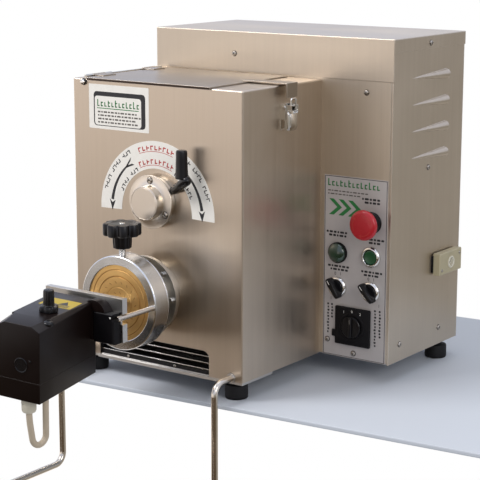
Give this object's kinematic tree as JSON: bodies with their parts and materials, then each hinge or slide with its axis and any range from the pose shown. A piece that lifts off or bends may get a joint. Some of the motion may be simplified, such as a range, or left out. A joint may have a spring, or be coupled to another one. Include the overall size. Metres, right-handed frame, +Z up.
{
  "type": "electric pasta maker",
  "caption": "Table-top electric pasta maker in brushed steel: kneading tank over an extruder with bronze die and clip-on cutter, rear drive cabinet with side controls.",
  "frame": {"origin": "on the table, at the centre of the rectangle that the tank and cabinet cover, at the height of the feet's undersides", "axes": "+X to the operator's right, -Y to the front where the die is, +Z up"},
  "size_m": [0.4073, 0.6567, 0.588],
  "materials": {
    "tank_sheet": "satin",
    "cabinet_sheet": "satin",
    "polished_steel": "polished",
    "plain_steel": "satin",
    "cast_hub": "satin",
    "bronze": "brushed",
    "black_rubber": "matte",
    "black_plastic": "matte",
    "black_gloss": "gloss",
    "brown_black": "semi gloss",
    "red_plastic": "gloss",
    "green_plastic": "gloss",
    "beige_plastic": "satin",
    "white_plastic": "satin",
    "label_film": "satin",
    "dark_paint": "satin",
    "motor_paint": "satin",
    "belt_rubber": "matte",
    "steel_pulley": "machined"
  },
  "bodies": {
    "case": {"tank_shell": "tank_sheet", "tank_liner": "plain_steel", "floor_pan": "plain_steel", "rubber_feet": "black_rubber", "cabinet_front": "cabinet_sheet", "side_panel_right": "cabinet_sheet", "cabinet_wrap": "cabinet_sheet", "top_cover": "cabinet_sheet", "case_screws": "polished_steel", "lid_hinge": "plain_steel", "latch_base": "polished_steel", "hub_flange": "cast_hub", "front_screws": "polished_steel", "shaft_bushes": "bronze", "barrel": "cast_hub", "die_ring": "polished_steel", "die": "bronze", "front_labels": "label_film", "fan_grille": "dark_paint", "fan_housing": "plain_steel", "control_plate": "cabinet_sheet", "control_bezels": "polished_steel", "stop_collar": "black_gloss", "power_lamp": "green_plastic", "main_switch": "black_plastic", "side_socket": "beige_plastic", "mains_inlet": "black_plastic", "motor": "motor_paint", "drive_belts": "belt_rubber", "control_box": "black_plastic", "cutter_rods": "plain_steel"},
    "lid": {"lid": "tank_sheet", "lid_keeper": "plain_steel"},
    "latch_lever": {"latch_lever": "polished_steel"},
    "latch_bail": {"latch_bail": "polished_steel"},
    "mode_lever": {"mode_lever": "black_plastic"},
    "chute_gate": {"chute_gate": "plain_steel"},
    "mixer": {"mixer_shaft": "plain_steel", "mixer_paddles": "plain_steel", "mixer_pulley": "steel_pulley"},
    "auger": {"auger": "plain_steel", "auger_pulley": "steel_pulley"},
    "motor_pulley": {"motor_pulley": "steel_pulley"},
    "fan_rotor": {"fan_rotor": "plain_steel"},
    "star_knob": {"star_knob": "black_plastic"},
    "stop_button": {"stop_button": "red_plastic"},
    "start_button": {"start_button": "green_plastic"},
    "selector_left": {"selector_left": "black_plastic"},
    "selector_right": {"selector_right": "black_plastic"},
    "main_dial": {"main_dial": "black_plastic"},
    "cutter": {"cutter_plate": "plain_steel", "cutter_mount": "brown_black", "cutter_housing": "brown_black", "cutter_clamp": "black_plastic", "lead_gland": "white_plastic", "cutter_lead": "white_plastic"},
    "speed_knob": {"speed_knob": "black_plastic"},
    "push_cap": {"push_cap": "black_gloss"},
    "cutter_knife": {"cutter_knife": "plain_steel"},
    "tray_hanger": {"tray_hanger": "plain_steel"}
  },
  "joints": [
    {"name": "lid_hinge", "type": "hinge", "parent": "case", "child": "lid", "pos_m": [-0.182, -0.097, 0.4084], "axis": [0, -1, 0], "range_deg": [0, 105]},
    {"name": "latch_hinge", "type": "hinge", "parent": "case", "child": "latch_lever", "pos_m": [0.091, -0.095, 0.378], "axis": [0, -1, 0], "range_deg": [0, 60]},
    {"name": "bail_hinge", "type": "hinge", "parent": "latch_lever", "child": "latch_bail", "pos_m": [0.0987, -0.095, 0.373], "axis": [0, -1, 0], "range_deg": [-60, 0]},
    {"name": "mode_hinge", "type": "hinge", "parent": "case", "child": "mode_lever", "pos_m": [-0.056, -0.188, 0.252], "axis": [0, -1, 0], "range_deg": [-20, 130]},
    {"name": "gate_hinge", "type": "hinge", "parent": "case", "child": "chute_gate", "pos_m": [-0.056, -0.188, 0.252], "axis": [0, -1, 0], "range_deg": [-12, 78]},
    {"name": "mixer_spin", "type": "hinge", "parent": "case", "child": "mixer", "pos_m": [-0.056, -0.188, 0.252], "axis": [0, -1, 0], "continuous": true},
    {"name": "auger_spin", "type": "hinge", "parent": "case", "child": "auger", "pos_m": [-0.056, -0.188, 0.129], "axis": [0, -1, 0], "continuous": true},
    {"name": "motor_spin", "type": "hinge", "parent": "case", "child": "motor_pulley", "pos_m": [0.07, -0.006, 0.15], "axis": [0, -1, 0], "continuous": true},
    {"name": "fan_spin", "type": "hinge", "parent": "case", "child": "fan_rotor", "pos_m": [-0.056, -0.126, 0.05], "axis": [1, 0, 0], "continuous": true},
    {"name": "star_screw", "type": "hinge", "parent": "case", "child": "star_knob", "pos_m": [-0.056, -0.2575, 0.2], "axis": [0, 0, 1], "range_deg": [0, 360]},
    {"name": "stop_press", "type": "slide", "parent": "case", "child": "stop_button", "axis": [0, 1, 0], "range_m": [0, 0.005], "stiffness_N_per_m": 500},
    {"name": "start_press", "type": "slide", "parent": "case", "child": "start_button", "axis": [0, 1, 0], "range_m": [0, 0.003], "stiffness_N_per_m": 400},
    {"name": "selector_left_turn", "type": "hinge", "parent": "case", "child": "selector_left", "pos_m": [0.115, -0.006, 0.1245], "axis": [0, -1, 0], "range_deg": [0, 90]},
    {"name": "selector_right_turn", "type": "hinge", "parent": "case", "child": "selector_right", "pos_m": [0.1675, -0.006, 0.1245], "axis": [0, -1, 0], "range_deg": [0, 90]},
    {"name": "main_turn", "type": "hinge", "parent": "case", "child": "main_dial", "pos_m": [0.141, -0.006, 0.0725], "axis": [0, -1, 0], "range_deg": [0, 90]},
    {"name": "cutter_slide", "type": "slide", "parent": "case", "child": "cutter", "axis": [0, -1, 0], "range_m": [0, 0.04]},
    {"name": "speed_turn", "type": "hinge", "parent": "cutter", "child": "speed_knob", "pos_m": [-0.05252, -0.40259, 0.14716], "axis": [0.0708, -0.0483, 0.9963], "range_deg": [0, 270]},
    {"name": "cap_press", "type": "slide", "parent": "cutter", "child": "push_cap", "axis": [-0.0708, 0.0483, -0.9963], "range_m": [0, 0.0015], "stiffness_N_per_m": 300},
    {"name": "knife_spin", "type": "hinge", "parent": "cutter", "child": "cutter_knife", "pos_m": [-0.056, -0.288, 0.129], "axis": [0, -1, 0], "continuous": true},
    {"name": "hanger_slide", "type": "slide", "parent": "case", "child": "tray_hanger", "axis": [0, -1, 0], "range_m": [0, 0.035]}
  ],
  "couplings": [
    {"joint": "bail_hinge", "follows": "latch_hinge", "ratio": -1},
    {"joint": "gate_hinge", "follows": "mode_hinge", "ratio": 0.6},
    {"joint": "mixer_spin", "follows": "auger_spin", "ratio": 0.30645},
    {"joint": "motor_spin", "follows": "auger_spin", "ratio": 3.0667}
  ]
}
